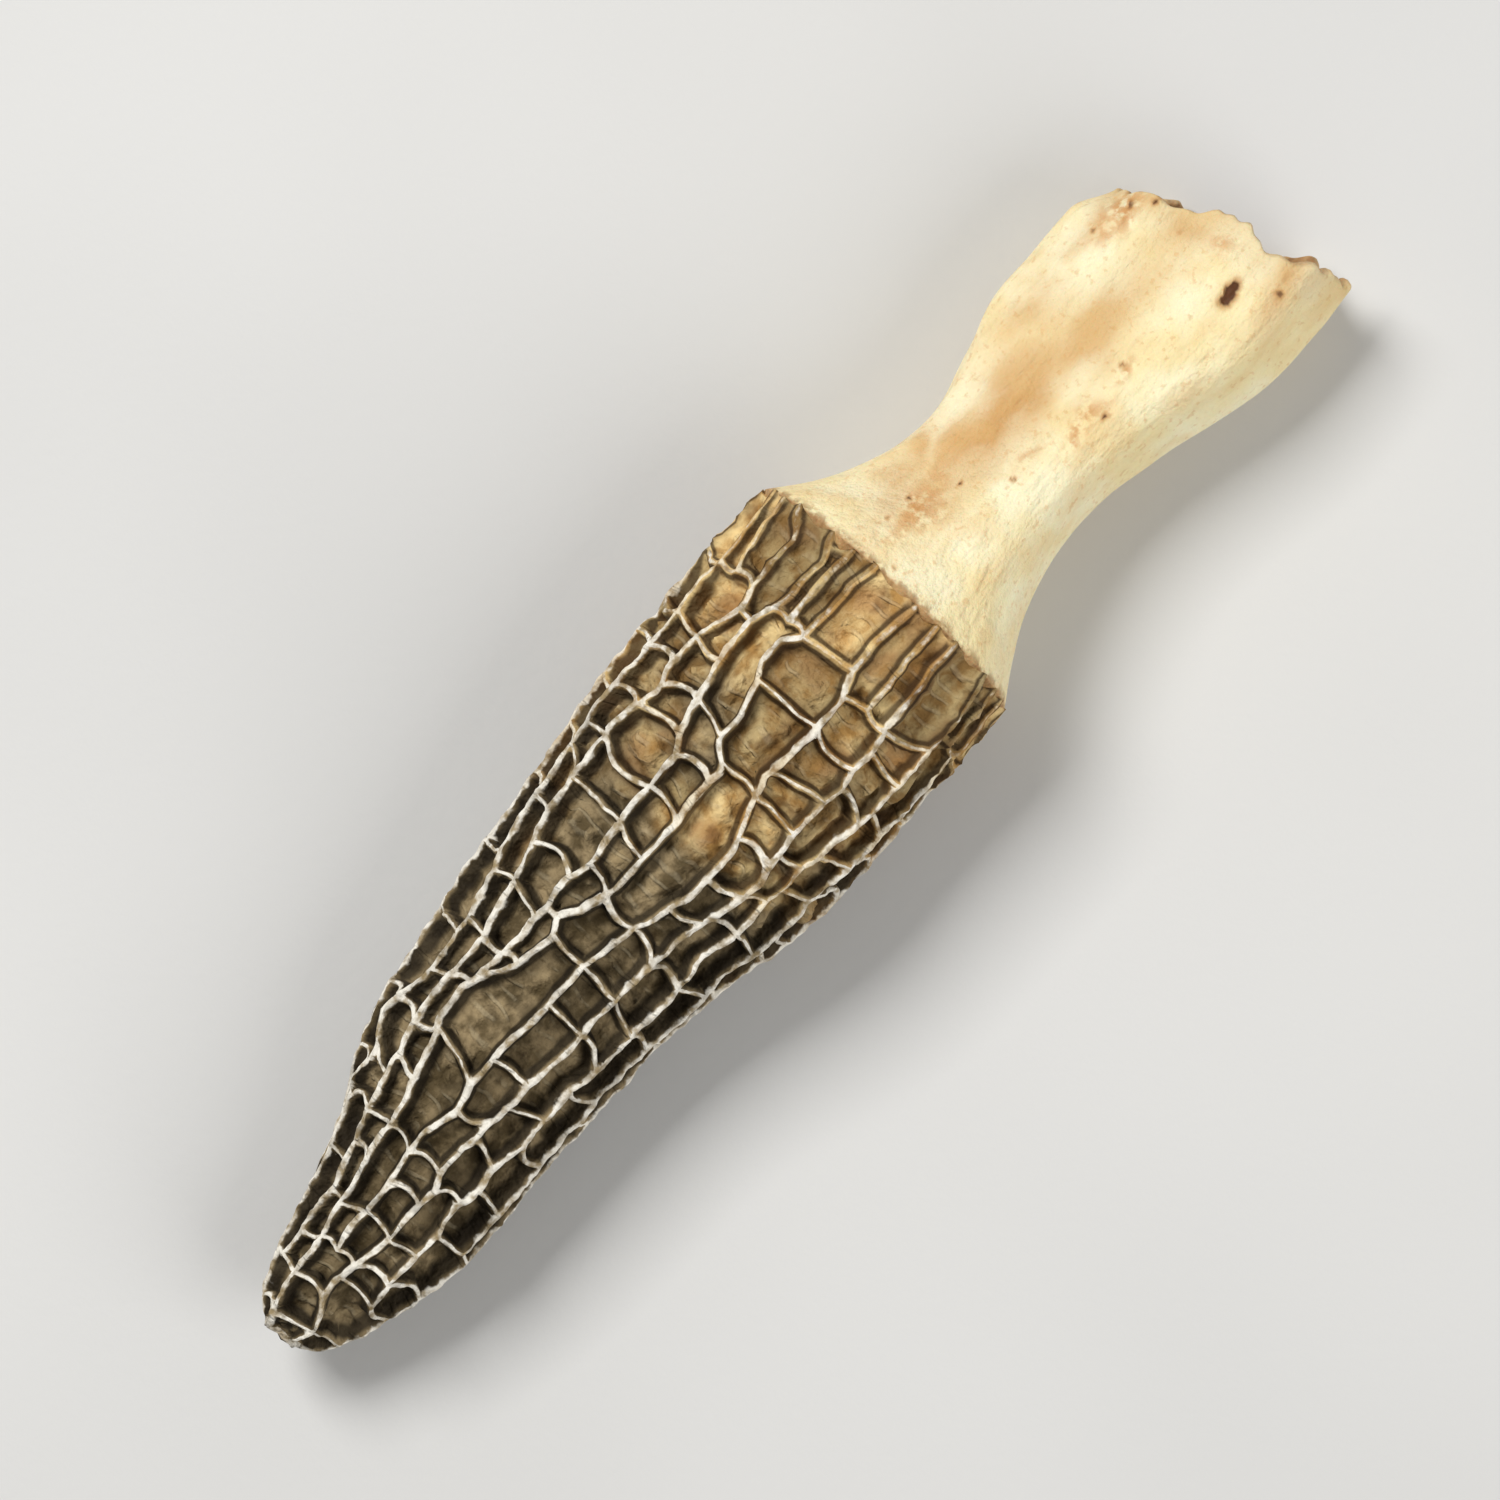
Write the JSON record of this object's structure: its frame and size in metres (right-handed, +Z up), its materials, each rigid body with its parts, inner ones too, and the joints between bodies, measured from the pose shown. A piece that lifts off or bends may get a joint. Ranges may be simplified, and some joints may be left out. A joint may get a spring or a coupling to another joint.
{
  "type": "morel mushroom",
  "caption": "Dried morel lying on its side: a hollow cap with a raised net of ridges over sunken pits, on a hollow, pinched stem that flares to an open, torn foot.",
  "frame": {"origin": "under the middle of the mushroom as seen from above, on the surface that it lies on", "axes": "+X from the tip of the cap to the foot of the stem, +Z up; the side that faces +Z is the one seen in the picture"},
  "size_m": [0.0871, 0.0194, 0.0149],
  "materials": {
    "cap_flesh": "matt, dried flesh, olive-brown pits under paler grey-tan ridges",
    "stem_flesh": "matt, dried flesh, cream with tan folds and brown flecks"
  },
  "bodies": {
    "root": {"cap": "cap_flesh", "stem": "stem_flesh"}
  },
  "joints": []
}
